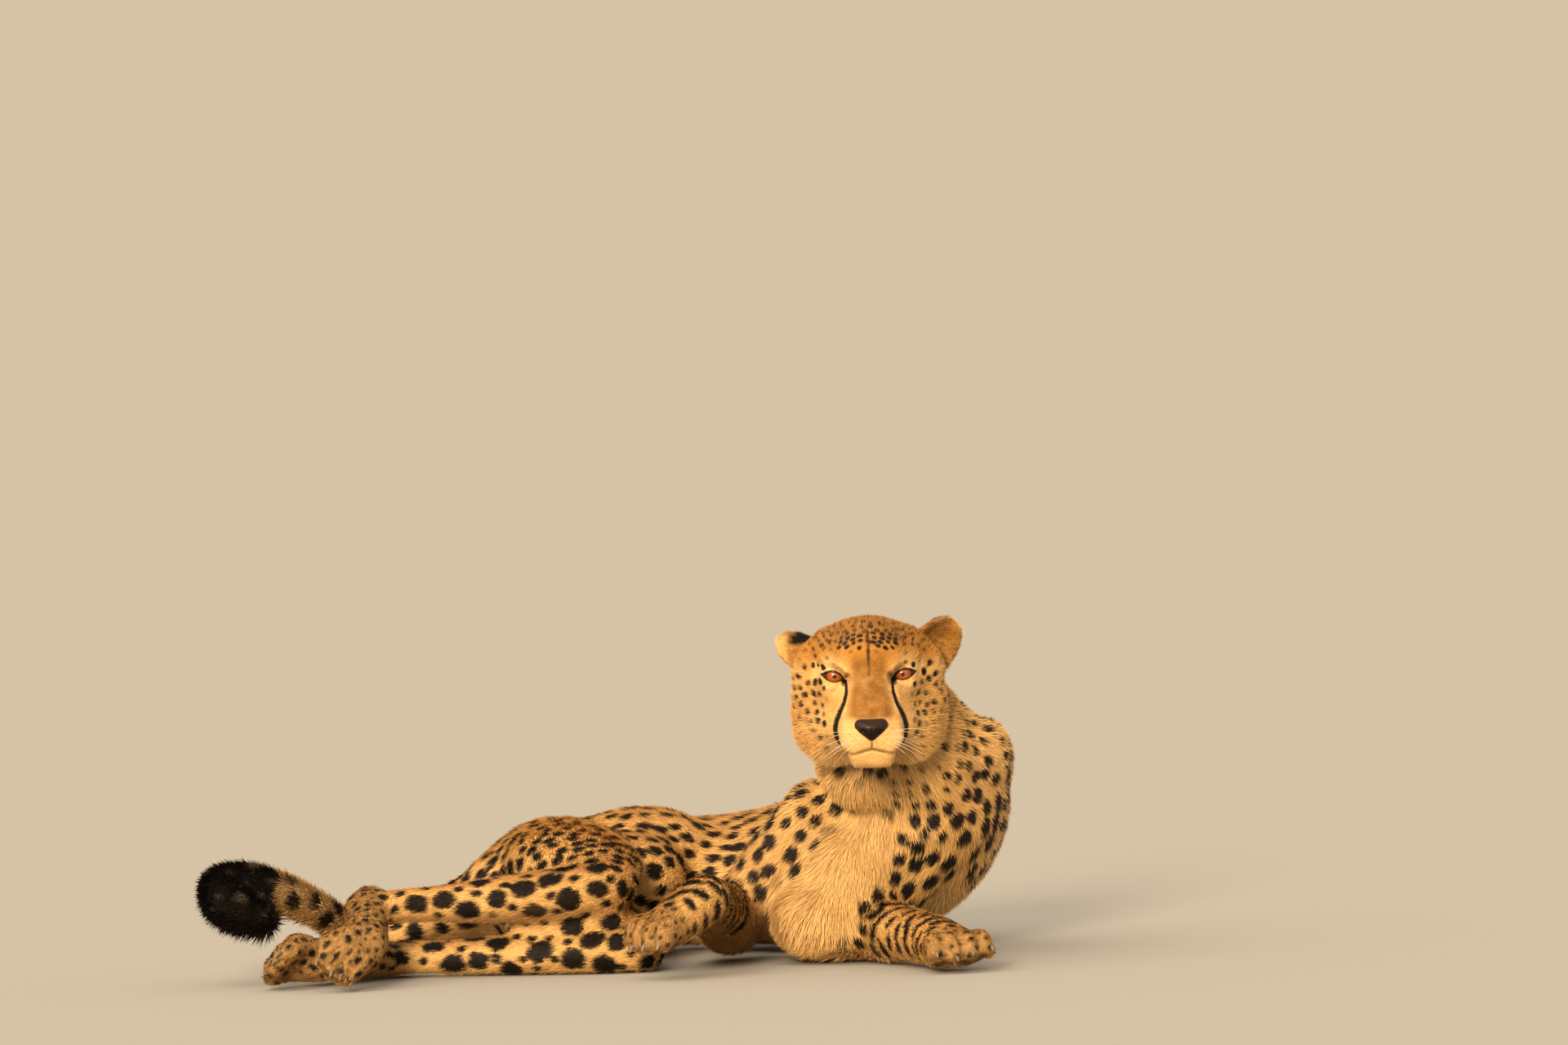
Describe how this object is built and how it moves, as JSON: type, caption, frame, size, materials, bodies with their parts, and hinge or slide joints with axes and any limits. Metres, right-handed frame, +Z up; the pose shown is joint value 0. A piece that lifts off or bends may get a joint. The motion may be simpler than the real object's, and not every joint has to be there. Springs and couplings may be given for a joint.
{
  "type": "cheetah",
  "caption": "Life-size spotted cheetah lying on its side with its forequarters raised and its head turned, in a still museum pose.",
  "frame": {"origin": "centre of the bounding box, at the floor the animal lies on", "axes": "+X along the body from the tail towards the chest, -Y the way the face looks, +Z up"},
  "size_m": [0.8472, 0.5592, 0.3644],
  "materials": {
    "coat": "short golden-tawny fur with black spots",
    "pale_coat": "long cream fur",
    "dark_coat": "long black fur",
    "eye": "wet amber eye",
    "nose_pad": "moist fine-grained skin",
    "claw": "worn horn",
    "whisker": "stiff pale hair"
  },
  "bodies": {
    "root": {"head": "coat", "neck": "coat", "chest": "coat", "loin": "coat", "rump": "coat", "thigh_right": "coat", "shank_right": "coat", "hindfoot_right": "coat", "thigh_left": "coat", "shank_left": "coat", "hindfoot_left": "coat", "forearm_right": "coat", "forepaw_right": "coat", "forearm_left": "coat", "forepaw_left": "coat", "tail_root": "coat", "tail_bend": "coat", "tail_rise": "coat", "ear_left": "coat", "ear_right": "coat", "tail_brush": "dark_coat", "eye_left": "eye", "eye_right": "eye", "nose": "nose_pad"}
  },
  "joints": []
}
